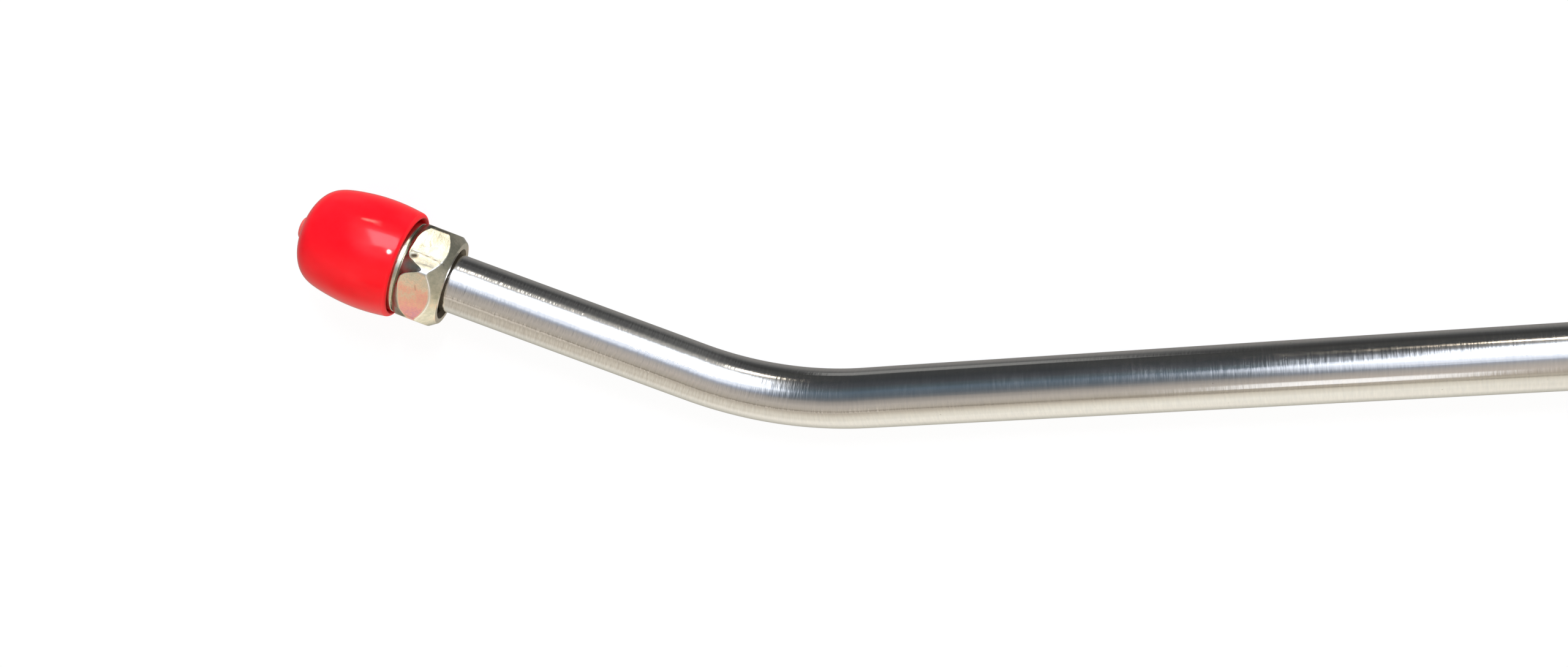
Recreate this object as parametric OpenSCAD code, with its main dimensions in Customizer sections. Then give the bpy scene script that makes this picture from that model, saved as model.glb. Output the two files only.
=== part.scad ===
// Pre-bent hard fluid line: a bright stainless tube, double flared at both
// ends, with a captive male tube nut at each end and a soft slip-on cap that
// protects the thread and flare of the short end.
// Millimetres. The line lies on a flat surface on three points: the belly of
// the cap, the underside of the bend and the lowest flat of the long-end nut.

/* [Tube] */
// Outside diameter of the tube
tube_od = 7.94; // [6.35:0.01:9.52]
// Wall thickness of the tube
tube_wall = 0.71; // [0.6:0.01:0.9]
// Angle of the bend
bend_angle = 30; // [20:1:45]
// Centreline radius of the bend
bend_radius = 44.5; // [30:0.5:60]
// Short leg, from the crossing of the two axes to the flared end
short_leg = 64.4; // [58:0.1:80]
// Long leg, from the crossing of the two axes to the flared end
long_leg = 150; // [130:1:220]

/* [Flare] */
// Outside diameter of the double flare
flare_od = 10.4; // [10:0.1:10.8]
// Flat land left on the rim of the flare
flare_land = 0.27; // [0.15:0.01:0.4]
// Length of the cylindrical rim of the flare
flare_rim = 0.29; // [0.15:0.01:0.4]

/* [Tube nut] */
// Width of the hexagon across its flats
hex_af = 12.7; // [12.7:0.1:13.2]
// Length of the hexagon
hex_len = 5.9; // [5.6:0.1:8]
// Diameter of the round face left by the hexagon's chamfers
hex_face_d = 11.45; // [11.2:0.05:11.9]
// Angle between the hexagon's chamfers and its faces
hex_chamfer = 50; // [30:1:52]
// Outside diameter of the thread
thread_d = 12.6; // [12.4:0.05:12.65]
// Length from the hexagon's front face to the nose of the nut
thread_len = 11; // [9:0.1:12]
// Width of the fine groove in front of the hexagon
groove_w = 0.15; // [0.1:0.05:0.3]
// Diameter at the bottom of the fine groove
groove_d = 11.1; // [10.8:0.1:11.3]
// Width of the plain collar between the groove and the thread
collar_w = 0.6; // [0.4:0.05:1]
// Diameter of the plain collar
collar_d = 11.9; // [11.5:0.05:12.2]
// Lead chamfer at the nose, measured along the axis
lead = 0.9; // [0.5:0.1:1.2]
// Diameter of the hole that the tube runs through
nut_hole = 8.4; // [8.2:0.05:8.6]
// Chamfer on the entry of the hole
hole_entry = 0.35; // [0.2:0.05:0.5]
// Depth of the conical seat in the nose that bears on the flare
seat_depth = 0.4; // [0.3:0.05:0.6]
// Turn of the short-end nut about its tube
near_turn = 40.8; // [-90:0.1:90]

/* [Cap] */
// Distance from the hexagon's front face to the mouth of the cap
mouth_gap = 0.45; // [0.3:0.05:1.5]
// Length of the cap without its nub
cap_len = 14.55; // [14:0.05:18]
// Largest outside radius of the cap
cap_r = 7.7; // [7.6:0.05:8.2]
// Distance of the largest radius from the mouth
belly_at = 4.5; // [3:0.1:7]
// How fast the barrel curves in from its largest radius
belly_curve = 0.021; // [0.01:0.001:0.024]
// Where the closed end starts to round over
dome_from = 8.8; // [8.4:0.1:10]
// Squareness of the rounded end
dome_power = 4.8; // [4:0.1:6]
// Radius of the cavity that grips the thread
cavity_r = 6.38; // [6.36:0.01:6.45]
// Depth of the straight part of the cavity
cavity_straight = 9.9; // [9.8:0.05:10.1]
// Full depth of the cavity
cavity_depth = 12.95; // [12.6:0.05:13.1]
// Radius of the mouth at its edge
mouth_r = 6.72; // [6.6:0.01:6.8]
// Rounding of the lip
lip_round = 0.5; // [0.3:0.05:0.6]
// Radius of the drip nub on the closed end
nub_r = 1.55; // [1:0.05:2]
// Height of the drip nub
nub_h = 0.6; // [0.3:0.05:0.8]

/* [Hidden] */
$fn = 96;

ro = tube_od / 2;
ri = ro - tube_wall;
rf = flare_od / 2;
// Distance from the flare's mouth back to where its outer cone leaves the tube
flare_back = flare_land * 0.8 + flare_rim + (rf - ro);
// Radius at which the conical seat inside the flare meets the end face
seat_r = rf - 0.22 - flare_land;
nut_len = hex_len + thread_len;
// The nut's conical seat stops this far short of the flare's outer cone
seat_gap = 0.09;
// Distance from an end of the tube back to the nut's rear face
nut_back = nut_len + flare_back - (nut_hole / 2 - ro) + seat_gap - seat_depth;
near_at = short_leg - nut_back;
far_at = long_leg - nut_back;
mouth_at = near_at + hex_len + mouth_gap;
tangent = bend_radius * tan(bend_angle / 2);
// Depth of the hexagon's chamfer at the middle of a flat
flat_chamfer = (hex_af - hex_face_d) / 2 * tan(hex_chamfer);
// Height of the blend between a leg and the bend
blend = 0.012;

// Outside radius of the cap at a distance z from its mouth
function dome(z) = max(0, (z - dome_from) / (cap_len - dome_from));
function cap_out(z) = (cap_r - belly_curve * pow(z - belly_at, 2)) * sqrt(max(0, 1 - pow(dome(z), dome_power)));

// Resting attitude: pitch of the long leg, roll about it, height of the crossing
// of the axes. Repeated substitution between the three contacts.
function rest_height(a, b) = ro - tangent * sin(a) - bend_radius * sin(b) * cos(a)
    + bend_radius * sqrt(pow(sin(a), 2) + pow(sin(b) * cos(a), 2));
function cap_rise(h, d) = max([for (z = [1 : 0.1 : 10]) (cap_out(z) * sqrt(1 - d * d) - h) / (mouth_at + z)]);
function settle(a, b, d, n) =
    let (h = rest_height(a, b))
    n == 0 ? [a, b, h] :
    let (a2 = asin((hex_af / 2 * cos(a) - h) / (far_at + flat_chamfer)),
         d2 = cap_rise(h, d),
         b2 = asin((d2 + cos(bend_angle) * sin(a2)) / (sin(bend_angle) * cos(a2))))
    settle(a2, b2, d2, n - 1);
rest = settle(1, 9, 0.07, 12);
pitch = rest[0];
roll = rest[1];
height = rest[2];

// Extent of the resting line along X and Y, to put the origin under its middle
short_dir = [-cos(bend_angle) * cos(pitch) - sin(bend_angle) * sin(roll) * sin(pitch), sin(bend_angle) * cos(roll)];
x_low = min([for (z = [8 : 0.05 : cap_len]) short_dir[0] * (mouth_at + z) - cap_out(z) * sqrt(1 - short_dir[0] * short_dir[0])]);
x_high = long_leg * cos(pitch);
y_high = max([for (z = [4 : 0.05 : cap_len]) short_dir[1] * (mouth_at + z) + cap_out(z) * sqrt(1 - short_dir[1] * short_dir[1])]);
y_low = -hex_af / 2 / cos(30);

module lay() translate([-(x_low + x_high) / 2, -(y_low + y_high) / 2, height]) rotate([0, -pitch, 0]) rotate([roll, 0, 0]) children();
// Places with +Z along each leg, away from the bend
module along_long() rotate([0, 90, 0]) children();
module along_short() rotate([0, 0, 180 - bend_angle]) rotate([0, 90, 0]) children();

module flared_leg(len)
    rotate_extrude()
        polygon([[0, tangent], [ro, tangent], [ro, len - flare_back],
                 [rf, len - flare_back + (rf - ro)], [rf, len - flare_land * 0.8],
                 [rf - 0.22, len], [0, len]]);

module leg_bore(len)
    rotate_extrude()
        polygon([[0, tangent], [ri, tangent], [ri, len - (seat_r - ri)], [seat_r + 1, len + 1], [0, len + 1]]);

module bend(r)
    translate([tangent, bend_radius, 0])
        rotate([0, 0, 270 - bend_angle])
            rotate_extrude(angle = bend_angle)
                translate([bend_radius, 0]) circle(r);

// Blend where a leg runs into the bend, a hundredth of a millimetre proud
module run_in(r) {
    along_long() translate([0, 0, tangent]) sphere(r + blend);
    along_short() translate([0, 0, tangent]) sphere(r + blend);
}

module tube_shape() difference() {
    union() {
        along_long() flared_leg(long_leg);
        bend(ro);
        along_short() flared_leg(short_leg);
        run_in(ro);
    }
    union() {
        along_long() leg_bore(long_leg);
        bend(ri);
        along_short() leg_bore(short_leg);
        run_in(ri);
    }
}

// Male tube nut, rear face of the hexagon at z = 0, nose at z = nut_len
module nut_shape() {
    wide = hex_af / 2 / cos(30) + 0.3;
    drop = min((wide - hex_face_d / 2) * tan(hex_chamfer), hex_len / 2 - 0.1);
    difference() {
        union() {
            intersection() {
                linear_extrude(height = hex_len) circle(r = hex_af / 2 / cos(30), $fn = 6);
                rotate_extrude()
                    polygon([[0, 0], [hex_face_d / 2, 0], [wide, drop], [wide, hex_len - drop],
                             [hex_face_d / 2, hex_len], [0, hex_len]]);
            }
            rotate_extrude()
                polygon([[0, hex_len - 1], [groove_d / 2, hex_len - 1], [groove_d / 2, hex_len + groove_w],
                         [collar_d / 2, hex_len + groove_w], [collar_d / 2, hex_len + groove_w + collar_w],
                         [thread_d / 2, hex_len + groove_w + collar_w], [thread_d / 2, nut_len - lead],
                         [thread_d / 2 - lead, nut_len], [0, nut_len]]);
        }
        rotate_extrude()
            polygon([[0, -1], [nut_hole / 2 + hole_entry + 1, -1], [nut_hole / 2, hole_entry],
                     [nut_hole / 2, nut_len - seat_depth], [nut_hole / 2 + seat_depth + 1, nut_len + 1], [0, nut_len + 1]]);
    }
}

// Slip-on cap, mouth at z = 0
module cap_shape() {
    dome_z = [for (i = [0 : 18]) dome_from + (cap_len - dome_from) * sin(90 * i / 18)];
    barrel_z = [for (i = [0 : 12]) lip_round + (dome_from - lip_round) * i / 12];
    outer = concat(
        [for (i = [0 : 6]) [cap_out(lip_round) - lip_round * (1 - sin(90 * i / 6)), lip_round * (1 - cos(90 * i / 6))]],
        [for (i = [1 : 12]) [cap_out(barrel_z[i]), barrel_z[i]]],
        [for (i = [1 : 17]) [cap_out(dome_z[i]), dome_z[i]]],
        [[nub_r, cap_len - 0.02], [nub_r, cap_len + nub_h * 0.6], [nub_r * 0.72, cap_len + nub_h], [0, cap_len + nub_h]]);
    inner = [[0, cavity_depth], [3.6, cavity_depth], [5, cavity_depth - 0.6], [5.85, cavity_straight + 1.05], [cavity_r, cavity_straight],
             [cavity_r, 0.65], [mouth_r, 0]];
    rotate_extrude() polygon(concat(outer, inner));
}

module line_tube() color("silver") lay() tube_shape();
module near_tube_nut() color("darkkhaki") lay() along_short() translate([0, 0, near_at]) rotate([0, 0, near_turn]) nut_shape();
module thread_cap() color("red") lay() along_short() translate([0, 0, mouth_at]) cap_shape();
module far_tube_nut() color("darkkhaki") lay() along_long() translate([0, 0, far_at]) rotate([0, 0, 30 - roll]) nut_shape();

line_tube();
near_tube_nut();
thread_cap();
far_tube_nut();
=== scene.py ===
"""Looks of a pre-bent hard fluid line: a bright stainless tube, double flared at
both ends, with a captive tube nut at each end and a red slip-on thread cap.

Everything is built in millimetres in the line's own frame (the crossing of the
two leg axes at the origin, the bend in the XY plane, the long leg along +X),
then laid on the floor with the same attitude as the construction.
"""

import math

import bpy
import numpy as np
from mathutils import Matrix


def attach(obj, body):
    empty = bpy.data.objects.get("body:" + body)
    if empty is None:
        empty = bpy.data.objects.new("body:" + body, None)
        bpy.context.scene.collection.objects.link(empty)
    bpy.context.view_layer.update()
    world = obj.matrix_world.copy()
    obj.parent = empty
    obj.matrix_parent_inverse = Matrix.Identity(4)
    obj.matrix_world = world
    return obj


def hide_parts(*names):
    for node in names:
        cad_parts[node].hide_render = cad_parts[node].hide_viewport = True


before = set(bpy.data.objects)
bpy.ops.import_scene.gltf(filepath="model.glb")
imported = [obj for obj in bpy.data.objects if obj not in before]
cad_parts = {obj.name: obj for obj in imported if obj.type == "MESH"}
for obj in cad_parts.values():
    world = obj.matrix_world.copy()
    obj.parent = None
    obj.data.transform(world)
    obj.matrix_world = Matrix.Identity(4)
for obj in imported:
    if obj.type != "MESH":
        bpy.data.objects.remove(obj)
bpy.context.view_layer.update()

# ---------------------------------------------------------------- dimensions
RO, RI = 3.97, 3.26                      # tube, outside and inside radius
BEND, BEND_R = math.radians(30.0), 44.5
TAN = BEND_R * math.tan(BEND / 2)
SHORT, LONG = 64.4, 150.0                # crossing of the axes to each mouth
HEX_A, HEX_L = 6.35, 5.9                 # half across flats, length of the hexagon
REAR_R, FRONT_R = 5.6, 6.15              # round faces left by the chamfers
CORNER = 0.9                             # rounding of the hexagon's corners
THREAD_R, THREAD_MIN, PITCH = 6.3, 5.6, 1.27
GROOVE_R, GROOVE_W, COLLAR_R, COLLAR_W = 5.72, 0.13, 6.2, 1.45
NUT_L, LEAD, HOLE_R = 16.9, 0.9, 4.2
NEAR_AT, FAR_AT, MOUTH_AT = 46.304, 131.904, 52.654
NEAR_TURN = math.radians(40.8)
ROLL, PITCHED, HEIGHT = math.radians(9.88749), math.radians(1.1062), 3.78796
FAR_TURN = math.radians(30.0) - ROLL
OFFSET = np.array([-45.11615, -15.008375, HEIGHT])
# how far the loose short-end nut hangs off its tube at the hexagon's rear, line frame
NEAR_HANG = np.array([-0.0822, -0.1424, 0.1307])


def rot(axis, a):
    c, s = math.cos(a), math.sin(a)
    if axis == "x":
        return np.array([[1, 0, 0], [0, c, -s], [0, s, c]], float)
    if axis == "y":
        return np.array([[c, 0, s], [0, 1, 0], [-s, 0, c]], float)
    return np.array([[c, -s, 0], [s, c, 0], [0, 0, 1]], float)


LAY = rot("y", -PITCHED) @ rot("x", ROLL)
ALONG_LONG = rot("y", math.pi / 2)
ALONG_SHORT = rot("z", math.pi - BEND) @ ALONG_LONG


def place(p):
    """Line frame in millimetres to floor frame in metres."""
    return (p @ LAY.T + OFFSET) * 1e-3


# ------------------------------------------------------------- mesh helpers
def bezier_corner(a, b, c, radius, n):
    """Points that round corner b of the path a-b-c. Arrays are (columns, 2)."""
    u, v = a - b, c - b
    lu = np.linalg.norm(u, axis=1, keepdims=True)
    lv = np.linalg.norm(v, axis=1, keepdims=True)
    u, v = u / np.maximum(lu, 1e-9), v / np.maximum(lv, 1e-9)
    half = np.arccos(np.clip((u * v).sum(1, keepdims=True), -1, 1)) / 2
    t = radius / np.tan(np.maximum(half, 1e-3))
    t = np.minimum(t, 0.42 * np.minimum(lu, lv))
    p, q = b + u * t, b + v * t
    guard = np.minimum(0.03, 0.06 * np.minimum(lu, lv))
    out = [b + u * (t + guard)]
    for k in range(n + 1):
        w = k / n
        out.append((1 - w) ** 2 * p + 2 * w * (1 - w) * b + w * w * q)
    out.append(b + v * (t + guard))
    return out


def rounded_loop(points, radii, counts):
    """Closed section with every listed corner rounded. points: list of (columns, 2)."""
    out = []
    m = len(points)
    for k in range(m):
        if radii[k] <= 0:
            out.append(points[k])
        else:
            out += bezier_corner(points[k - 1], points[k], points[(k + 1) % m], radii[k], counts[k])
    return out


def make_mesh(name, verts, faces, attrs=None, uv=None):
    """Closed smooth mesh. faces: list of index tuples. uv: (corners, 2) or None."""
    v = np.asarray(verts, float)
    tri = []
    for f in faces:
        for k in range(1, len(f) - 1):
            tri.append((f[0], f[k], f[k + 1]))
    t = np.array(tri)
    volume = np.einsum("ij,ij->i", v[t[:, 0]], np.cross(v[t[:, 1]], v[t[:, 2]])).sum()
    if volume < 0:
        faces = [tuple(reversed(f)) for f in faces]
        if uv is not None:
            flipped, at = [], 0
            for f in faces:
                flipped.append(uv[at:at + len(f)][::-1])
                at += len(f)
            uv = np.concatenate(flipped)
    me = bpy.data.meshes.new(name)
    me.from_pydata(v.tolist(), [], faces)
    me.polygons.foreach_set("use_smooth", [True] * len(me.polygons))
    if uv is not None:
        layer = me.uv_layers.new(name="Turned")
        layer.data.foreach_set("uv", np.asarray(uv, np.float32).ravel())
    for key, values in (attrs or {}).items():
        values = np.asarray(values, np.float32)
        if values.ndim == 2:
            at = me.attributes.new(key, "FLOAT_VECTOR", "POINT")
            at.data.foreach_set("vector", values.ravel())
        else:
            at = me.attributes.new(key, "FLOAT", "POINT")
            at.data.foreach_set("value", values.ravel())
    me.update()
    obj = bpy.data.objects.new(name, me)
    bpy.context.scene.collection.objects.link(obj)
    return obj


def ring_faces(rows, cols, close_rows):
    faces, uv = [], []
    last = rows if close_rows else rows - 1
    for i in range(last):
        i2 = (i + 1) % rows
        for j in range(cols):
            j2 = (j + 1) % cols
            faces.append((i * cols + j, i * cols + j2, i2 * cols + j2, i2 * cols + j))
            uv += [(i, j), (i, j + 1), (i + 1, j + 1), (i + 1, j)]
    return faces, np.array(uv, float)


def waves(x, y, seed, count, longest, shortest):
    """Smooth repeatable undulation, about -1 to 1."""
    rng = np.random.default_rng(seed)
    out = np.zeros_like(x)
    total = 0.0
    for k in range(count):
        length = longest * (shortest / longest) ** (k / max(count - 1, 1))
        a = rng.uniform(0, 2 * math.pi)
        ph = rng.uniform(0, 2 * math.pi)
        amp = length / longest
        out += amp * np.sin((x * math.cos(a) + y * math.sin(a)) * 2 * math.pi / length + ph)
        total += amp
    return out / (0.6 * total)


# --------------------------------------------------------------- the tube
def tube_piece():
    near = SHORT - TAN
    arc = BEND_R * BEND
    total = near + arc + LONG - TAN

    def pts(*rows):
        return [np.array([r], float) for r in rows]

    section = pts(
        (1.45, RI), (0, 4.71), (0, 4.98), (0.216, 5.2), (0.506, 5.2), (1.736, RO),
        (total - 1.736, RO), (total - 0.506, 5.2), (total - 0.216, 5.2), (total, 4.98),
        (total, 4.71), (total - 1.45, RI))
    radii = [0.4, 0.06, 0.12, 0.16, 0.2, 0.7, 0.7, 0.2, 0.16, 0.12, 0.06, 0.4]
    counts = [5, 3, 3, 3, 4, 6, 6, 4, 3, 3, 3, 5]
    loop = [p[0] for p in rounded_loop(section, radii, counts)]
    dense = []
    for k, a in enumerate(loop):
        b = loop[(k + 1) % len(loop)]
        dense.append(a)
        span = b[0] - a[0]
        if abs(span) > 3:
            outer = a[1] > 3.6
            stops, s = [], 0.0
            step_leg, step_bend = (1.2, 0.42) if outer else (2.4, 0.8)
            x = min(a[0], b[0])
            end = max(a[0], b[0])
            while True:
                inside = near - 0.6 < x < near + arc + 0.6
                x += step_bend if inside else step_leg
                if x < near - 0.6 and x + step_leg > near - 0.6:
                    stops.append(x)
                    x = near - 0.6
                if x >= end - 0.5:
                    break
                stops.append(x)
            if span < 0:
                stops = stops[::-1]
            dense += [np.array([x, a[1] + (b[1] - a[1]) * (x - a[0]) / span]) for x in stops]
    prof = np.array(dense)
    s, r = prof[:, 0], prof[:, 1]
    rows, cols = len(prof), 128
    # centreline and its frame
    c = np.zeros((rows, 3))
    t = np.zeros((rows, 3))
    d1 = np.array([math.cos(BEND), -math.sin(BEND), 0])
    for i in range(rows):
        if s[i] <= near:
            c[i], t[i] = -d1 * (SHORT - s[i]), d1
        elif s[i] >= near + arc:
            c[i], t[i] = np.array([TAN + s[i] - near - arc, 0, 0]), np.array([1.0, 0, 0])
        else:
            a = BEND - (s[i] - near) / BEND_R
            c[i] = np.array([TAN - BEND_R * math.sin(a), BEND_R - BEND_R * math.cos(a), 0])
            t[i] = np.array([math.cos(a), -math.sin(a), 0])
    side = np.cross(np.array([0, 0, 1.0]), t)
    phi = np.arange(cols) * 2 * math.pi / cols
    # a bent tube flattens a little on the outside of its bend
    w = np.clip((s - near + 6) / 12, 0, 1) * np.clip((near + arc + 6 - s) / 12, 0, 1)
    flat = (w * w * (3 - 2 * w))[:, None]
    rad = r[:, None] * (1 - 0.005 * flat * (1 + np.cos(2 * phi)[None, :]))
    P = c[:, None, :] + rad[..., None] * (np.cos(phi)[None, :, None] * side[:, None, :]
                                          + np.sin(phi)[None, :, None] * np.array([0, 0, 1.0]))
    grain = np.stack([np.repeat(s[:, None], cols, 1), r[:, None] * np.cos(phi)[None, :],
                      r[:, None] * np.sin(phi)[None, :]], -1)
    faces, ij = ring_faces(rows, cols, True)
    run = np.concatenate([[0], np.cumsum(np.hypot(np.diff(s, append=s[0]), np.diff(r, append=r[0])))])
    uv = np.stack([run[ij[:, 0].astype(int)] / 100, ij[:, 1] / cols], -1)
    return make_mesh("steel_line", place(P.reshape(-1, 3)), faces,
                     {"grain": grain.reshape(-1, 3)}, uv)


# --------------------------------------------------------------- the nuts
def hex_radius(phi):
    """Polar radius of the hexagon with rounded corners; a flat is centred at 30 degrees."""
    t = (phi + math.pi / 6 + math.pi / 6) % (math.pi / 3) - math.pi / 6
    t = np.abs(t)
    t1 = math.atan((HEX_A - CORNER) * math.tan(math.pi / 6) / HEX_A)
    d = (HEX_A - CORNER) / math.cos(math.pi / 6)
    delta = math.pi / 6 - t
    arc = d * np.cos(delta) + np.sqrt(np.maximum(CORNER ** 2 - (d * np.sin(delta)) ** 2, 0))
    return np.where(t <= t1, HEX_A / np.cos(t), arc), t1


def nut_columns():
    _, t1 = hex_radius(np.zeros(1))
    one = np.concatenate([
        np.linspace(-t1 + 0.004, t1 - 0.004, 41),
        [t1],
        np.linspace(t1, math.pi / 3 - t1, 11)[1:-1],
        [math.pi / 3 - t1]])
    phi = np.concatenate([one + math.pi / 6 + k * math.pi / 3 for k in range(6)])
    return phi


def domed(u, slope, curve):
    """How far a hexagon's domed chamfer has come along the axis, u outside its round face."""
    u = np.maximum(u, 0)
    return slope * u + curve * u * u


def thread_radius(z, phi, phase):
    h = (z / PITCH - phi / (2 * math.pi) + phase) % 1.0
    tri = np.abs(h - 0.5) * 2            # 1 at a root, 0 at a crest
    x = (tri - 0.26) / 0.56
    k = 0.1
    soft = np.where(x < -k, 0, np.where(x < k, (x + k) ** 2 / (4 * k), x))
    y = 1 - soft
    soft = 1 - np.where(y < -k, 0, np.where(y < k, (y + k) ** 2 / (4 * k), y))
    return THREAD_R - (THREAD_R - THREAD_MIN) * soft


# depth of the worn nut's front chamfer along the hexagon's surface, by local angle in degrees
WORN = [(0, 2.3), (3.6, 1.4), (10, 0.75), (18, 0.46), (30, 0.42), (42, 0.46), (50, 0.75), (56.4, 1.4), (60, 2.3), (63.6, 1.4),
        (70, 0.75), (78, 0.46), (90, 0.42), (102, 0.5), (110, 0.85), (116.4, 1.6), (120, 2.5), (123.6, 1.8), (127.6, 1.26),
        (135.6, 0.88), (144.5, 0.57), (152.3, 0.39), (160.3, 0.28), (168.6, 0.41), (173.3, 0.95), (176.8, 1.87), (180, 2.75),
        (182, 2.95), (184, 2.75), (187.3, 1.83), (191.6, 0.75), (196.8, 0.33), (204, 0.30), (212, 0.40), (221.4, 0.46),
        (229.4, 0.73), (236.4, 1.36), (238.7, 2.0), (240, 2.4), (241.3, 2.0), (243.6, 1.36), (250, 0.75), (258, 0.46), (270, 0.42),
        (282, 0.46), (290, 0.75), (296.4, 1.4), (300, 2.3), (303.6, 1.4), (310, 0.75), (318, 0.46), (330, 0.42), (342, 0.46),
        (350, 0.75), (356.4, 1.4), (360, 2.3)]


def worn_depth(phi):
    a, d = np.array(WORN).T
    out = np.zeros_like(phi)
    for shift, weight in ((-1.6, 0.1), (-0.8, 0.2), (0, 0.4), (0.8, 0.2), (1.6, 0.1)):
        out += weight * np.interp((np.degrees(phi) + shift) % 360, a, d)
    return out


def nut_piece(name, at, along, turn, phase, seed, marks, hang, ease):
    """ease: 1 for the worn nut with its uneven chamfers, 0 for the even one."""
    phi = nut_columns()
    cols = len(phi)
    R, _ = hex_radius(phi)
    one = np.ones(cols)
    rear = REAR_R + ease * 0.28 * np.maximum(0, np.cos(phi - math.radians(245))) ** 2
    depth = worn_depth(phi) if ease else domed(R - FRONT_R, 2.0, -0.3)

    def back_of(r):
        return domed(r - rear, 1.3, 0.06)

    def front_of(r):
        return HEX_L - depth * np.clip((r - FRONT_R) / (R - FRONT_R), 0, None)

    zr, zf = back_of(R), HEX_L - front_of(R)

    def pt(z, r):
        return np.stack([z * one, r * one], -1)

    collar, first_thread = HEX_L + GROOVE_W, HEX_L + GROOVE_W + COLLAR_W
    section = [
        pt(1.7, HOLE_R), pt(0.6, HOLE_R + 0.3), pt(0, HOLE_R + 0.72), pt(0, rear), pt(zr, R), pt(HEX_L - zf, R),
        pt(HEX_L, FRONT_R), pt(HEX_L, GROOVE_R), pt(collar, GROOVE_R), pt(collar, COLLAR_R),
        pt(first_thread, COLLAR_R),                                           # the thread follows
        pt(NUT_L - LEAD, THREAD_R), pt(NUT_L, THREAD_R - LEAD),
        pt(NUT_L, HOLE_R + 0.4), pt(NUT_L - 0.4, HOLE_R)]
    radii = [0.3, 0.2, 0.05, 0.12, 0.4, 0.4, 0.08, 0.04, 0.04, 0.08, 0, 0, 0.1, 0.06, 0.1]
    counts = [4, 3, 3, 4, 8, 8, 4, 3, 3, 4, 0, 0, 3, 3, 3]
    fill = {3: 5, 4: 12, 5: 44, 6: 12, 14: 5}
    # the domed chamfers meet their neighbours along their own tangents
    before = {4: pt(back_of(R - 0.3), R - 0.3), 6: pt(front_of(FRONT_R + 0.15), FRONT_R + 0.15)}
    after = {3: pt(back_of(rear + 0.3), rear + 0.3), 5: pt(front_of(R - 0.3), R - 0.3)}
    out = []
    m = len(section)
    for k in range(m):
        if k == 10:
            prev = out[-1]
            for w in np.linspace(0, 1, 5)[1:-1]:
                out.append(prev + (pt(first_thread - 0.1, COLLAR_R) - prev) * w)
            for z in np.linspace(first_thread - 0.1, NUT_L - LEAD * 0.25, 228):
                start = np.clip((z - first_thread + 0.1) / 0.3, 0, 1)
                start = start * start * (3 - 2 * start)
                r = COLLAR_R + (thread_radius(z, phi, phase) - COLLAR_R) * start
                cone = THREAD_R - (z - (NUT_L - LEAD))
                blend = 0.06
                d = np.clip((r - cone) / blend, -1, 1)
                r = np.where(d <= -1, r, np.where(d >= 1, cone, 0.5 * (r + cone) - blend * (d * d + 1) / 4))
                out.append(np.stack([z * one, r], -1))
            continue
        if k == 11:
            continue
        a, b, c = section[k - 1], section[k], section[(k + 1) % m]
        if k == 12:
            a = pt(NUT_L - LEAD * 0.25, THREAD_R - LEAD * 0.75)
        a, c = before.get(k, a), after.get(k, c)
        nxt = bezier_corner(a, b, c, radii[k], counts[k])
        if k in fill:
            prev = out[-1]
            for w in np.linspace(0, 1, fill[k] + 2)[1:-1]:
                row = prev + (nxt[0] - prev) * w
                if k == 4:
                    row[:, 0] = back_of(row[:, 1])
                if k == 6:
                    row[:, 0] = front_of(row[:, 1])
                out.append(row)
        out += nxt
    # the bore back to the start
    prev, nxt = out[-1], out[0]
    for w in np.linspace(0, 1, 14)[1:-1]:
        out.append(prev + (nxt - prev) * w)
    S = np.stack(out)                      # rows, columns, (z, r)
    z, r = S[..., 0].copy(), S[..., 1].copy()
    rows = len(out)
    # cold-formed hexagon: crowned, faintly uneven flats and marks from handling
    ph = np.repeat(phi[None, :], rows, 0)
    t = (ph % (math.pi / 3)) - math.pi / 6
    across = HEX_A * np.tan(np.clip(t, -0.5, 0.5))
    number = np.floor((ph % (2 * math.pi)) / (math.pi / 3)).astype(int)
    on_hex = np.clip((r - 5.7) / 0.4, 0, 1) * np.clip((HEX_L + 0.05 - z) / 0.1, 0, 1)
    uneven = np.zeros_like(z)
    for k in range(6):
        uneven = np.where(number == k, waves(across, z, seed + 11 * k, 5, 7.0, 1.6), uneven)
    fade = np.clip((0.53 - np.abs(t)) / 0.12, 0, 1)
    r -= on_hex * 0.008 * np.minimum(np.abs(across), 3.2) ** 2
    r += on_hex * fade * (0.007 * uneven - 0.010)
    wear_and_shade = np.zeros_like(z)
    for flat, kind, x0, z0, x1, z1, width, depth in marks:
        dx, dz = x1 - x0, z1 - z0
        ll = max(dx * dx + dz * dz, 1e-9)
        w = np.clip(((across - x0) * dx + (z - z0) * dz) / ll, 0, 1)
        d = np.hypot(across - x0 - w * dx, z - z0 - w * dz)
        g = np.exp(-(d / width) ** 2) * (number == flat) * on_hex
        r -= depth * g
        wear_and_shade = np.maximum(wear_and_shade, g * kind)
    # the front chamfer next to the cap is painted darker and rougher, a painted shade where it faces the cap's dark
    # mouth; the bore is painted dark, a painted shade inside the hole
    chamfer_shade = np.clip((z - HEX_L + zf[None, :]) / 0.25, 0, 1) * (z < HEX_L + 0.01) * (r > FRONT_R - 0.06)
    wear_and_shade = np.maximum(wear_and_shade, 0.55 * ease * chamfer_shade)
    # painted shade: the hole's entry and bore are painted dark
    wear_and_shade = np.maximum(wear_and_shade, np.clip((HOLE_R + 0.74 - r) / 0.05, 0, 1))
    # painted highlight: the edges behind the flats and down the corner between two of them are painted near white
    rear_edge_highlight = np.exp(-((z - zr[None, :]) / 0.14) ** 2) * (r > 6.2)
    corner_highlight = np.exp(-((np.degrees(ph) - 181.5) / 2.6) ** 2) * np.clip((z - zr[None, :] + 0.2) / 0.3, 0, 1)
    corner_highlight = corner_highlight * np.clip((3.6 - z) / 0.6, 0, 1) * (r > 6.2)
    edge = ease * np.maximum(rear_edge_highlight * np.exp(-((np.degrees(ph) - 160) / 36) ** 2), corner_highlight)
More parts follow.
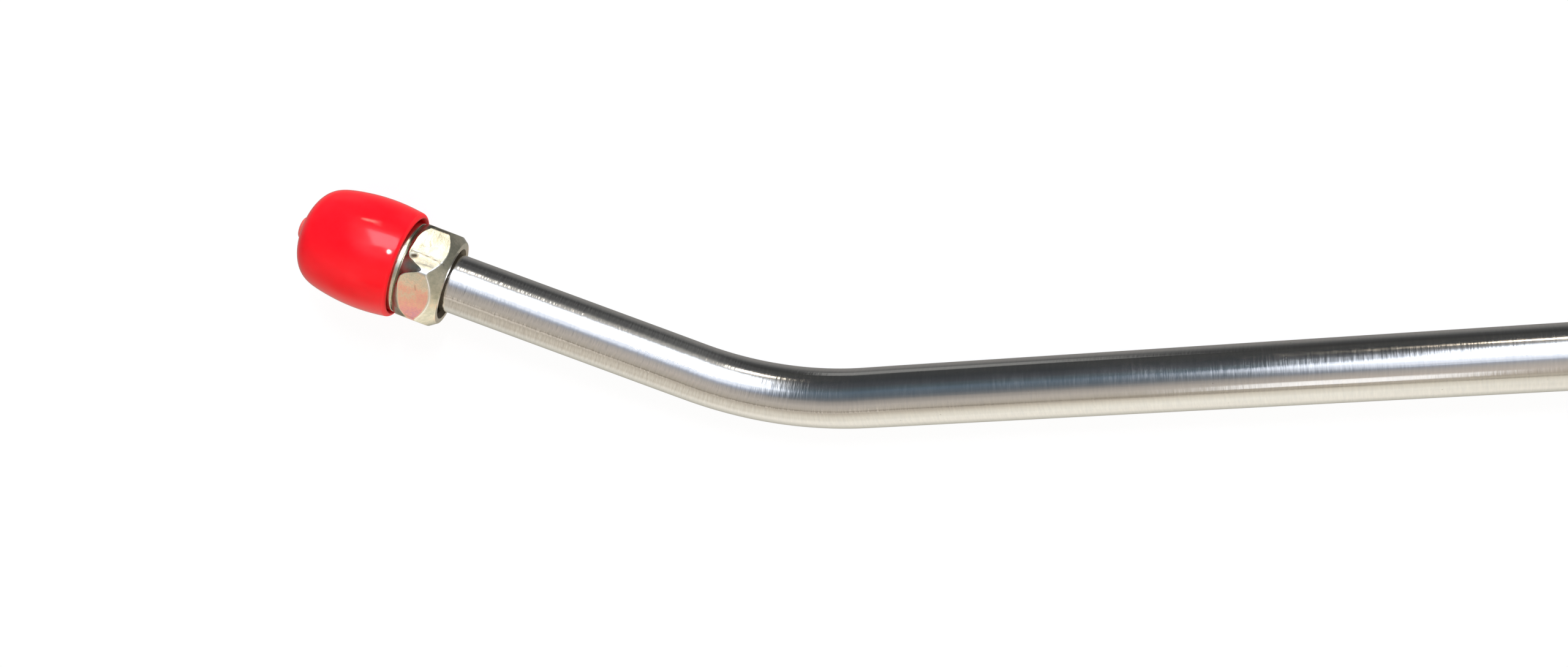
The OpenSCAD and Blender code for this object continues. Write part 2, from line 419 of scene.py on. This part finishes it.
    # how far the yellow film has turned: 0 olive, 1 magenta
    flat_part = np.clip((z - zr[None, :]) / 0.25, 0, 1) * np.clip((HEX_L - zf[None, :] - z) / 0.25, 0, 1)
    flat_part = flat_part * (on_hex > 0.5)
    tint = np.array([0.48, 0.55, 0.60, 0.24, 0.45, 0.58])[number]
    lean = np.array([-0.05, 0.04, -0.105, 0.02, 0.06, -0.04])[number]
    film = 0.14 + flat_part * (tint - 0.14 + lean * across + 0.02 * (2.9 - z) * (across < 0))
    film = np.where(r < 5.68, 0.30, film)
    x = r * np.cos(ph)
    y = r * np.sin(ph)
    grain = np.stack([x, y, z], -1)
    turned = grain @ rot("z", turn).T
    P = (turned + np.array([0, 0, at])) @ along.T + (1 - z / NUT_L)[..., None] * np.asarray(hang)
    faces, ij = ring_faces(rows, cols, True)
    run = np.concatenate([[0], np.cumsum(np.hypot(np.diff(z[:, 0], append=z[0, 0]),
                                                  np.diff(r[:, 0], append=r[0, 0])))])
    angle = np.concatenate([phi, [phi[0] + 2 * math.pi]]) / (2 * math.pi)
    uv = np.stack([run[ij[:, 0].astype(int)] / 40, angle[ij[:, 1].astype(int)]], -1)
    return make_mesh(name, place(P.reshape(-1, 3)), faces,
                     {"grain": grain.reshape(-1, 3), "wear_and_shade": wear_and_shade.ravel(), "film": film.ravel(), "edge": edge.ravel()}, uv)


# ---------------------------------------------------------------- the cap
def cap_out(z):
    dome = np.maximum(0, (z - 8.8) / 5.75)
    return (7.7 - 0.021 * (z - 4.5) ** 2) * np.sqrt(np.maximum(0, 1 - dome ** 4.8))


def cap_piece():
    prof = []                              # (r, z) from the nub's tip to the cavity's end
    for a in np.linspace(0.06, 1, 12):     # drip nub, flat on top with a soft edge
        b = a * math.pi / 2
        prof.append((1.5 * math.sin(b) ** 0.8, 14.55 + 0.02 + 0.56 * math.cos(b) ** 0.55))
    prof.append((1.56, 14.535))
    prof.append((1.68, 14.505))
    prof.append((1.88, 14.485))
    for a in np.linspace(0.985, 0.0, 48):
        z = 8.8 + 5.75 * math.sin(a * math.pi / 2)
        if z < 14.475:
            prof.append((float(cap_out(np.array(z))), z))
    for z in np.linspace(8.8, 0.5, 48)[1:]:
        prof.append((float(cap_out(np.array(z))), z))
    edge = float(cap_out(np.array(0.5)))
    first = math.atan(0.042 * 4.0)         # rolled outer edge of the lip, tangent to the barrel
    roll = 0.5 / (1 - math.sin(first))
    for a in np.linspace(0, 1, 14)[1:]:
        b = first + a * (math.pi / 2 - first)
        prof.append((edge - roll * (math.cos(first) - math.cos(b)), 0.5 - roll * (math.sin(b) - math.sin(first))))
    last_outer = len(prof)
    prof += [(6.755, 0.006), (6.73, 0.03), (6.69, 0.09), (6.62, 0.2), (6.54, 0.4), (6.48, 0.6), (6.46, 0.8), (6.45, 1.1)]
    for z in np.linspace(1.1, 9.8, 16)[1:]:
        prof.append((6.45, z))
    prof += [(6.39, 10.05), (6.24, 10.32), (6.05, 10.62), (5.85, 10.95), (5.6, 11.4), (5.3, 11.88), (4.95, 12.35), (4.4, 12.65),
             (3.8, 12.85), (3.1, 12.93), (2.2, 12.95), (1.1, 12.95)]
    prof = np.array(prof)
    rows, cols = len(prof), 192
    phi = np.arange(cols) * 2 * math.pi / cols
    r = np.repeat(prof[:, :1], cols, 1)
    z = np.repeat(prof[:, 1:], cols, 1)
    outer = np.zeros(rows)
    outer[:last_outer] = 1.0
    # hand-dipped: never quite round, only ever inside the nominal outline
    lobes = 0.025 * (np.sin(2 * phi + 0.6) - 1) + 0.015 * (np.sin(3 * phi - 1.0) - 1)
    r = r + outer[:, None] * np.clip((14.3 - z) / 6, 0, 1) * lobes[None, :]
    # the lip is not cut square: it stands further off the hexagon on one side
    lip = np.clip((3.0 - z) / 3.0, 0, 1) ** 1.5
    z = z + lip * (0.26 * np.cos(phi - math.radians(-139.2)) + 0.03 * np.sin(2 * phi + 0.4))[None, :]
    local = np.stack([r * np.cos(phi), r * np.sin(phi), z], -1)
    flat = local.reshape(-1, 3)
    verts = np.concatenate([flat, [[0, 0, 15.135], [0, 0, 12.95]]])
    P = (verts + np.array([0, 0, MOUTH_AT])) @ ALONG_SHORT.T
    faces, ij = ring_faces(rows, cols, False)
    n = rows * cols
    uv = np.stack([ij[:, 0] / rows, ij[:, 1] / cols], -1)
    extra = []
    for j in range(cols):
        j2 = (j + 1) % cols
        faces.append((n, j2, j))
        extra += [(0, (j + 0.5) / cols), (0, (j + 1) / cols), (0, j / cols)]
    for j in range(cols):
        j2 = (j + 1) % cols
        faces.append((n + 1, n - cols + j, n - cols + j2))
        extra += [(1, (j + 0.5) / cols), (1, j / cols), (1, (j + 1) / cols)]
    uv = np.concatenate([uv, np.array(extra)])
    return make_mesh("vinyl_cap", place(P), faces, {"grain": verts}, uv)


# -------------------------------------------------------------- materials
class Tree:
    def __init__(self, tree):
        self.t = tree
        self.t.nodes.clear()

    def node(self, kind, inputs=None, **props):
        n = self.t.nodes.new(kind)
        for k, v in props.items():
            setattr(n, k, v)
        for k, v in (inputs or {}).items():
            sock = n.inputs[k]
            if isinstance(v, bpy.types.NodeSocket):
                self.t.links.new(v, sock)
            else:
                sock.default_value = v
        return n

    def math(self, op, a, b=0.0, c=0.0, clamp=False):
        return self.node("ShaderNodeMath", {0: a, 1: b, 2: c}, operation=op, use_clamp=clamp).outputs[0]

    def vmath(self, op, a, b=(0, 0, 0)):
        n = self.node("ShaderNodeVectorMath", {0: a, 1: b}, operation=op)
        return n.outputs["Value"] if op in ("DOT_PRODUCT", "LENGTH") else n.outputs[0]

    def smooth(self, x, lo, hi):
        return self.node("ShaderNodeMapRange", {"Value": x, "From Min": lo, "From Max": hi, "To Min": 0.0, "To Max": 1.0},
                         interpolation_type="SMOOTHSTEP", clamp=True).outputs[0]

    def remap(self, x, a, b, c, d):
        return self.node("ShaderNodeMapRange", {"Value": x, "From Min": a, "From Max": b, "To Min": c, "To Max": d},
                         clamp=True).outputs[0]

    def ramp(self, x, stops, mode="LINEAR"):
        n = self.node("ShaderNodeValToRGB", {0: x})
        e = n.color_ramp
        e.interpolation = mode
        while len(e.elements) > 1:
            e.elements.remove(e.elements[-1])
        for k, (p, col) in enumerate(stops):
            el = e.elements[0] if k == 0 else e.elements.new(p)
            el.position = p
            el.color = (*col, 1.0)
        return n.outputs["Color"]

    def mix(self, f, a, b, blend="MIX"):
        n = self.node("ShaderNodeMix", data_type="RGBA", blend_type=blend)
        for k, v in ((0, f), (6, a), (7, b)):
            if isinstance(v, bpy.types.NodeSocket):
                self.t.links.new(v, n.inputs[k])
            else:
                n.inputs[k].default_value = (*v, 1.0) if k and len(v) == 3 else v
        return n.outputs[2]

    def noise(self, vec, scale, detail=3.0, rough=0.55, dims="3D"):
        return self.node("ShaderNodeTexNoise", {"Vector": vec, "Scale": scale, "Detail": detail, "Roughness": rough},
                         noise_dimensions=dims).outputs["Fac"]

    def stretch(self, vec, s):
        return self.vmath("MULTIPLY", vec, s)


def material(name):
    m = bpy.data.materials.new(name)
    m.use_nodes = True
    return m, Tree(m.node_tree)


def grain_of(t):
    return t.node("ShaderNodeAttribute", attribute_name="grain").outputs["Vector"]


def stainless():
    m, t = material("bright_stainless")
    g = grain_of(t)
    # polishing lines run round the tube, about a third of a millimetre apart
    fine = t.noise(t.stretch(g, (2.7, 0.55, 0.55)), 1.0, 1.0, 0.5)
    broad = t.noise(t.stretch(g, (0.8, 0.22, 0.22)), 1.0, 1.0, 0.5)
    hair = t.noise(t.stretch(g, (7.0, 0.5, 0.5)), 1.0, 1.0, 0.5)
    cloud = t.noise(t.stretch(g, (0.16, 0.3, 0.3)), 1.0, 3.0, 0.55)
    speck = t.noise(t.stretch(g, (3.2, 3.2, 3.2)), 1.0, 2.0, 0.5)
    colour = t.ramp(t.math("ADD", t.math("MULTIPLY", fine, 0.6), t.math("MULTIPLY", hair, 0.4)),
                    [(0.3, (0.61, 0.61, 0.613)), (0.5, (0.637, 0.633, 0.628)), (0.7, (0.665, 0.66, 0.652))])
    pits = t.smooth(speck, 0.74, 0.80)
    colour = t.mix(pits, colour, (0.42, 0.40, 0.38))
    rough = t.math("ADD", t.remap(hair, 0.3, 0.7, 0.07, 0.13), t.remap(cloud, 0.3, 0.7, 0.0, 0.05))
    # the long leg is drawn smoother, with faint lines along it
    run = t.node("ShaderNodeSeparateXYZ", {0: g}).outputs[0]
    drawn = t.noise(t.stretch(g, (0.025, 2.4, 2.4)), 1.0, 2.0, 0.6)
    comb = t.math("ADD", fine, t.math("ADD", broad, t.math("MULTIPLY", hair, 0.16)))
    height = t.math("ADD", t.math("MULTIPLY", comb, t.remap(run, 52, 84, 1.0, 0.22)),
                    t.math("MULTIPLY", drawn, t.remap(run, 60, 90, 0.0, 0.30)))
    bump = t.node("ShaderNodeBump", {"Strength": 1.0, "Distance": 2.2e-5, "Height": height}).outputs[0]
    tangent = t.node("ShaderNodeTangent", direction_type="UV_MAP", uv_map="Turned").outputs[0]
    b = t.node("ShaderNodeBsdfPrincipled", {
        "Base Color": colour, "Metallic": 1.0, "Roughness": rough, "Anisotropic": 0.45,
        "Tangent": tangent, "Normal": bump})
    t.node("ShaderNodeOutputMaterial", {"Surface": b.outputs[0]})
    return m


def yellow_zinc():
    m, t = material("yellow_zinc")
    g = grain_of(t)
    wear_and_shade = t.node("ShaderNodeAttribute", attribute_name="wear_and_shade").outputs["Fac"]
    film = t.node("ShaderNodeAttribute", attribute_name="film").outputs["Fac"]
    edge = t.node("ShaderNodeAttribute", attribute_name="edge").outputs["Fac"]
    hue = t.noise(t.stretch(g, (0.5, 0.5, 0.42)), 1.0, 4.0, 0.55)
    spots = t.noise(t.stretch(g, (2.2, 2.2, 2.2)), 1.0, 3.0, 0.6)
    fine = t.noise(t.stretch(g, (6.0, 6.0, 6.0)), 1.0, 3.0, 0.6)
    turned = t.noise(t.stretch(g, (0.5, 0.5, 5.0)), 1.0, 2.0, 0.5)
    shade = t.math("ADD", film, t.math("ADD", t.remap(hue, 0.25, 0.75, -0.22, 0.22), t.remap(spots, 0.3, 0.7, -0.10, 0.10)))
    colour = t.ramp(shade, [
        (0.0, (0.52, 0.52, 0.42)), (0.22, (0.70, 0.67, 0.55)), (0.45, (0.88, 0.70, 0.54)),
        (0.66, (1.0, 0.55, 0.43)), (0.85, (0.97, 0.47, 0.45)), (1.0, (0.86, 0.42, 0.50))])
    colour = t.mix(t.remap(fine, 0.4, 0.72, 0.0, 0.16), colour, (0.52, 0.49, 0.38))
    # handling marks darken the colour, and so does the painted shade in the bore and on the near nut's front chamfer
    colour = t.mix(t.math("MULTIPLY", wear_and_shade, 0.9), colour, (0.09, 0.07, 0.045))
    # painted highlight: the nut's rear edges and one corner are mixed towards near white
    colour = t.mix(t.math("MULTIPLY", edge, 0.9), colour, (0.98, 0.97, 0.96))
    rough = t.math("ADD", t.remap(fine, 0.3, 0.7, 0.13, 0.24), t.math("MULTIPLY", wear_and_shade, 0.3))
    height = t.math("ADD", fine, t.math("MULTIPLY", turned, 0.6))
    bump = t.node("ShaderNodeBump", {"Strength": 1.0, "Distance": 4.0e-6, "Height": height}).outputs[0]
    b = t.node("ShaderNodeBsdfPrincipled", {"Base Color": colour, "Metallic": 1.0, "Roughness": rough, "Normal": bump})
    t.node("ShaderNodeOutputMaterial", {"Surface": b.outputs[0]})
    return m


def red_vinyl():
    m, t = material("red_vinyl")
    g = grain_of(t)
    cloud = t.noise(t.stretch(g, (0.22, 0.22, 0.18)), 1.0, 3.0, 0.5)
    dust = t.noise(t.stretch(g, (5.5, 5.5, 5.5)), 1.0, 2.0, 0.5)
    ripple = t.noise(t.stretch(g, (0.35, 0.35, 0.35)), 1.0, 1.0, 0.5)
    colour = t.ramp(cloud, [(0.3, (0.90, 0.004, 0.012)), (0.5, (0.95, 0.007, 0.016)), (0.72, (0.97, 0.012, 0.022))])
    # the drip left on the end is painted pale, a painted reflection of the bright surroundings
    along = t.node("ShaderNodeSeparateXYZ", {0: g}).outputs[2]
    colour = t.mix(t.math("MULTIPLY", t.smooth(along, 14.52, 14.7), 0.45), colour, (0.52, 0.30, 0.24))
    rough = t.math("ADD", t.remap(cloud, 0.3, 0.7, 0.07, 0.10), t.remap(dust, 0.55, 0.75, 0.0, 0.05))
    lip = t.smooth(along, 0.75, 0.35)
    rough = t.math("ADD", rough, t.math("MULTIPLY", lip, 0.3))
    height = t.math("ADD", t.math("MULTIPLY", ripple, 3.0), t.math("MULTIPLY", dust, 0.5))
    bump = t.node("ShaderNodeBump", {"Strength": 1.0, "Distance": 4.0e-6, "Height": height}).outputs[0]
    b = t.node("ShaderNodeBsdfPrincipled", {
        "Base Color": colour, "Roughness": rough, "IOR": 1.5, "Specular IOR Level": 0.25, "Normal": bump,
        "Subsurface Weight": 0.25, "Subsurface Radius": (1.0, 0.12, 0.1), "Subsurface Scale": 0.0009})
    t.node("ShaderNodeOutputMaterial", {"Surface": b.outputs[0]})
    return m


# ------------------------------------------------------------------ pieces
tube = tube_piece()
near_marks = [                             # flat, darkening, from (across, z), to (across, z), width, depth
    (3, 0.85, -1.04, 5.28, -0.95, 3.6, 0.075, 0.03),
    (3, 0.85, -0.95, 3.6, -1.34, 0.66, 0.075, 0.03),
    (3, 1.25, -1.70, 4.82, -1.58, 4.58, 0.40, 0.06),
    (3, 0.34, -1.9, 4.6, -2.0, 1.9, 0.55, 0.0),
    (3, 0.75, -2.55, 4.0, -2.35, 1.8, 0.15, 0.0),
    (3, 0.35, -1.9, 3.9, -2.3, 2.6, 0.12, 0.012),
    (3, 0.25, 1.2, 3.6, 0.5, 3.2, 0.07, 0.006),
    (3, 0.30, 0.2, 4.4, 0.1, 3.9, 0.09, 0.008),
    (2, 0.30, 1.4, 3.2, 0.9, 3.0, 0.10, 0.008),
    (0, 0.5, -1.2, 1.9, 0.6, 2.6, 0.07, 0.02),
    (5, 0.5, 0.4, 3.9, 1.5, 2.2, 0.07, 0.02)]
far_marks = [
    (1, 0.6, -1.6, 3.8, 0.9, 2.4, 0.08, 0.02), (4, 0.5, 0.3, 1.9, 1.8, 3.4, 0.07, 0.02),
    (2, 0.4, -0.8, 2.6, -0.1, 3.0, 0.12, 0.02)]
near_nut = nut_piece("near_nut", NEAR_AT, ALONG_SHORT, NEAR_TURN, 0.35, 3, near_marks, NEAR_HANG, 1.0)
far_nut = nut_piece("far_nut", FAR_AT, ALONG_LONG, FAR_TURN, 0.1, 41, far_marks, (0, 0, 0), 0.0)
cap = cap_piece()

steel, zinc, vinyl = stainless(), yellow_zinc(), red_vinyl()
for piece, mat, body, node, slot in (
        (tube, steel, "tube", "line_tube", "stainless"),
        (near_nut, zinc, "near_nut", "near_tube_nut", "yellow_zinc"),
        (far_nut, zinc, "far_nut", "far_tube_nut", "yellow_zinc"),
        (cap, vinyl, "cap", "thread_cap", "red_vinyl")):
    piece.data.materials.append(mat)
    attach(piece, body)
    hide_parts(node)

# ------------------------------------------------------------------- stage
floor_mesh = bpy.data.meshes.new("floor")
floor_mesh.from_pydata([(-4, -4, 0), (4, -4, 0), (4, 4, 0), (-4, 4, 0)], [], [(0, 1, 2, 3)])
floor = bpy.data.objects.new("floor", floor_mesh)
bpy.context.scene.collection.objects.link(floor)
fm, ft = material("pale_floor")
fb = ft.node("ShaderNodeBsdfPrincipled", {
    "Base Color": (0.14, 0.14, 0.14, 1), "Roughness": 0.9, "Specular IOR Level": 0.0,
    "Emission Color": (1, 1, 1, 1), "Emission Strength": 0.9})
ft.node("ShaderNodeOutputMaterial", {"Surface": fb.outputs[0]})
floor_mesh.materials.append(fm)
floor.visible_glossy = False              # polished metal shows the room and the softboxes, not the sweep under it

# ------------------------------------------------------------------ camera
RIGHT = np.array([0.949847, -0.198226, -0.241864])
UP = np.array([0.076465, 0.897174, -0.435008])
BACK = np.array([0.303224, 0.394697, 0.867335])
EYE = np.array([0.02836599, 0.08710276, 0.20610926])
cam_data = bpy.data.cameras.new("camera")
cam = bpy.data.objects.new("camera", cam_data)
bpy.context.scene.collection.objects.link(cam)
cam_data.sensor_fit = "HORIZONTAL"
cam_data.sensor_width = 36.0
cam_data.lens = 41.18355
cam_data.clip_start, cam_data.clip_end = 0.005, 50
cam.matrix_world = Matrix((
    (RIGHT[0], UP[0], BACK[0], EYE[0]),
    (RIGHT[1], UP[1], BACK[1], EYE[1]),
    (RIGHT[2], UP[2], BACK[2], EYE[2]),
    (0, 0, 0, 1)))
bpy.context.scene.camera = cam


# -------------------------------------------------------------- studio light
MIDDLE = EYE - 0.235 * BACK                # on the object, what the studio is laid out from


def ease(x, lo, hi):
    w = np.clip((x - lo) / (hi - lo), 0, 1)
    return w * w * (3 - 2 * w)


def panel(name, xs, ys, back, glow, opacity, colour, sampled):
    """A soft-edged light panel at a distance back from the object. glow, opacity: functions of (x, y)."""
    X, Y = np.meshgrid(xs, ys)
    P = MIDDLE + X[..., None] * RIGHT + Y[..., None] * UP + back(X, Y)[..., None] * BACK
    rows, cols = X.shape
    faces = [(i * cols + j, i * cols + j + 1, (i + 1) * cols + j + 1, (i + 1) * cols + j)
             for i in range(rows - 1) for j in range(cols - 1)]
    me = bpy.data.meshes.new(name)
    me.from_pydata(P.reshape(-1, 3).tolist(), [], faces)
    for key, f in (("glow", glow), ("opacity", opacity)):
        at = me.attributes.new(key, "FLOAT", "POINT")
        at.data.foreach_set("value", np.asarray(f(X, Y), np.float32).ravel())
    m, t = material(name + "_light")
    power = t.node("ShaderNodeAttribute", attribute_name="glow").outputs["Fac"]
    cover = t.node("ShaderNodeAttribute", attribute_name="opacity").outputs["Fac"]
    em = t.node("ShaderNodeEmission", {"Color": (*colour, 1), "Strength": power})
    clear = t.node("ShaderNodeBsdfTransparent")
    both = t.node("ShaderNodeMixShader", {0: cover, 1: clear.outputs[0], 2: em.outputs[0]})
    t.node("ShaderNodeOutputMaterial", {"Surface": both.outputs[0]})
    m.cycles.emission_sampling = "AUTO" if sampled else "NONE"
    me.materials.append(m)
    obj = bpy.data.objects.new(name, me)
    bpy.context.scene.collection.objects.link(obj)
    obj.visible_camera = False
    obj.visible_shadow = False
    return obj


def softbox_left(y):
    return np.interp(y, [-0.05, 0.02, 0.08, 0.11, 0.19, 0.25, 0.31, 0.355, 0.425, 0.495, 0.60, 0.68, 0.80, 0.92],
                     [-0.105, -0.14, -0.165, -0.178, -0.195, -0.185, -0.16, -0.14, -0.13, -0.12, -0.105, -0.085, -0.06, -0.05])


def spot_from(x, y):
    """Distance from the middle of the small hard light, which is a slanted oval."""
    a, b = (x - 0.048) * 1e3, (y - 0.153) * 1e3
    return np.hypot(0.235 * a - 0.0564 * b, 0.0583 * a - 0.094 * b)


panel("softbox", np.linspace(-0.28, 0.38, 111), np.linspace(-0.09, 0.92, 169), lambda x, y: 0.585 + 0 * x,
      lambda x, y: 1.3 + 0.7 * ease(y, 0.13, 0.22)
      + 6.0 * ease(x, -0.115, -0.05) * ease(x, 0.273, 0.229) * ease(y, 0.205, 0.243) * ease(y, 0.70, 0.55),
      lambda x, y: ease(x - softbox_left(y), -0.05, 0.05) * ease(x, 0.366, 0.278) * ease(y, -0.07, 0.06) * ease(y, 0.90, 0.64),
      (0.94, 1.0, 1.12), True)
panel("spot", np.linspace(0.018, 0.078, 41), np.linspace(0.083, 0.223, 71), lambda x, y: 0.575 + 0 * x,
      lambda x, y: 150 + 0 * x, lambda x, y: ease(spot_from(x, y), 4.0, 2.8), (1, 1, 1.04), True)
panel("lamp", np.linspace(-0.20, 0.18, 39), np.linspace(1.676, 1.768, 24), lambda x, y: 0.74 - (y - 1.74) * 2.3,
      lambda x, y: 1 + 0 * x,
      lambda x, y: ease(x, -0.19, -0.11) * ease(x, 0.15, 0.08) * ease(y, 1.676, 1.700) * ease(y, 1.768, 1.744), (12.0, 10.2, 8.0), False)
panel("fill", np.linspace(0.02, 0.27, 26), np.linspace(1.60, 1.82, 23), lambda x, y: 0.76 - (y - 1.74) * 2.3,
      lambda x, y: 2.3 + 0 * x,
      lambda x, y: ease(x, 0.02, 0.10) * ease(x, 0.24, 0.18) * ease(y, 1.615, 1.66) * ease(y, 1.82, 1.79), (1.0, 0.98, 0.92), False)
panel("card", np.linspace(-0.035, 0.06, 20), np.linspace(-0.235, -0.105, 27), lambda x, y: 0.2 + 0 * x,
      lambda x, y: 1.55 + 0 * x,
      lambda x, y: ease(np.abs(x - 0.0125), 0.042, 0.02) * ease(np.abs(y + 0.17), 0.06, 0.03), (1.0, 0.975, 0.95), True)


def studio():
    """The room round the lights, described in a frame fixed to the studio."""
    world = bpy.data.worlds.new("studio")
    bpy.context.scene.world = world
    world.use_nodes = True
    t = Tree(world.node_tree)
    d = t.node("ShaderNodeTexCoord").outputs["Generated"]
    x = t.vmath("DOT_PRODUCT", d, tuple(RIGHT))
    y = t.vmath("DOT_PRODUCT", d, tuple(UP))
    b = t.vmath("DOT_PRODUCT", d, tuple(BACK))
    deg = 180 / math.pi
    el = t.math("MULTIPLY", t.math("ARCSINE", t.math("MAXIMUM", t.math("MINIMUM", y, 1.0), -1.0)), deg)
    az = t.math("MULTIPLY", t.math("ARCTAN2", x, b), deg)
    h = t.remap(el, -90, 90, 0, 1)

    def stops(rows):
        return [((e + 90) / 180, c) for e, c in rows]

    front = t.ramp(h, stops([
        (-90, (1.28, 1.23, 1.09)), (-72, (1.05, 0.98, 0.84)), (-60, (0.84, 0.77, 0.63)), (-52, (0.60, 0.53, 0.43)),
        (-44, (0.62, 0.54, 0.45)), (-30, (0.74, 0.66, 0.59)), (-16, (0.62, 0.58, 0.54)), (-8, (0.53, 0.53, 0.56)),
        (-1, (0.60, 0.66, 0.80)), (8, (0.85, 0.93, 1.05)), (50, (0.85, 0.86, 0.86)), (57, (0.58, 0.57, 0.55)),
        (65, (0.46, 0.45, 0.41)), (71, (0.21, 0.21, 0.21)), (78, (0.12, 0.12, 0.12)), (90, (0.09, 0.09, 0.09))]))
    left = t.ramp(h, stops([
        (-90, (1.28, 1.23, 1.09)), (-72, (1.05, 0.98, 0.84)), (-61, (0.80, 0.72, 0.60)), (-50, (0.54, 0.48, 0.39)),
        (-40, (0.64, 0.58, 0.50)), (-31, (0.67, 0.61, 0.54)), (-13, (0.43, 0.40, 0.37)), (-4, (0.22, 0.23, 0.24)),
        (5, (0.15, 0.18, 0.21)), (21, (0.14, 0.19, 0.24)), (32, (0.10, 0.13, 0.15)), (43, (0.083, 0.09, 0.10)),
        (62, (0.06, 0.065, 0.07)), (90, (0.085, 0.085, 0.08))]))
    behind = t.ramp(h, stops([
        (-90, (1.28, 1.23, 1.09)), (-60, (1.23, 1.16, 1.02)), (-44, (0.92, 0.88, 0.77)), (-30, (0.70, 0.67, 0.58)),
        (-12, (0.46, 0.44, 0.39)), (6, (0.32, 0.31, 0.29)), (42, (0.29, 0.28, 0.27)), (56, (0.18, 0.18, 0.175)),
        (65, (0.095, 0.095, 0.095)), (78, (0.06, 0.06, 0.06)), (90, (0.085, 0.085, 0.08))]))
    right = t.ramp(h, stops([
        (-90, (1.28, 1.23, 1.09)), (-72, (1.05, 0.98, 0.84)), (-55, (0.72, 0.66, 0.55)), (-35, (0.58, 0.54, 0.47)),
        (-15, (0.50, 0.48, 0.43)), (2, (0.36, 0.35, 0.33)), (22, (0.24, 0.24, 0.23)), (45, (0.19, 0.19, 0.185)),
        (66, (0.20, 0.20, 0.195)), (78, (0.12, 0.12, 0.12)), (90, (0.09, 0.09, 0.09))]))
    w_left = t.smooth(az, -13, -25)
    w_back = t.smooth(t.math("ABSOLUTE", az), 105, 150)
    room = t.mix(w_back, t.mix(t.smooth(az, 30, 60), t.mix(w_left, front, left), right), behind)
    # a grey shape behind, high on the left
    away = t.math("ADD", t.math("ABSOLUTE", t.math("MULTIPLY", t.math("ADD", az, 150), 0.6)), t.math("ABSOLUTE", t.math("SUBTRACT", el, 63)))
    room = t.mix(t.smooth(away, 18, 9), room, (0.33, 0.33, 0.32))
    # a pale patch low on the left, and the dark line of a table's edge below everything
    pale = t.math("MULTIPLY", t.math("MULTIPLY", t.smooth(el, -57, -50), t.smooth(el, -33, -40)),
                  t.math("MULTIPLY", t.smooth(az, -36.5, -42), t.smooth(az, -62, -53)))
    lit = t.mix(pale, room, (0.98, 0.88, 0.76))
    rim = t.math("SUBTRACT", t.math("MULTIPLY", t.math("MINIMUM", t.math("ADD", az, 20), 0.0), -0.5), 58)
    rim = t.math("SUBTRACT", rim, t.math("MULTIPLY", t.math("MAXIMUM", t.math("ADD", az, 20), 0.0), 0.15))
    line = t.smooth(t.math("ABSOLUTE", t.math("SUBTRACT", el, rim)), 4.5, 0.5)
    line = t.math("MULTIPLY", line, t.math("MULTIPLY", t.smooth(az, -60, -46), t.smooth(az, 40, 10)))
    lit = t.mix(t.math("MULTIPLY", line, 0.42), lit, (0.10, 0.07, 0.04))
    # what the lens sees past the floor's edge is plain and pale
    seen = t.node("ShaderNodeLightPath").outputs["Is Camera Ray"]
    shown = t.mix(seen, lit, (0.92, 0.92, 0.92))
    bg = t.node("ShaderNodeBackground", {"Color": shown, "Strength": 1.0})
    t.node("ShaderNodeOutputWorld", {"Surface": bg.outputs[0]})


studio()
bpy.context.scene.view_settings.view_transform = "Standard"
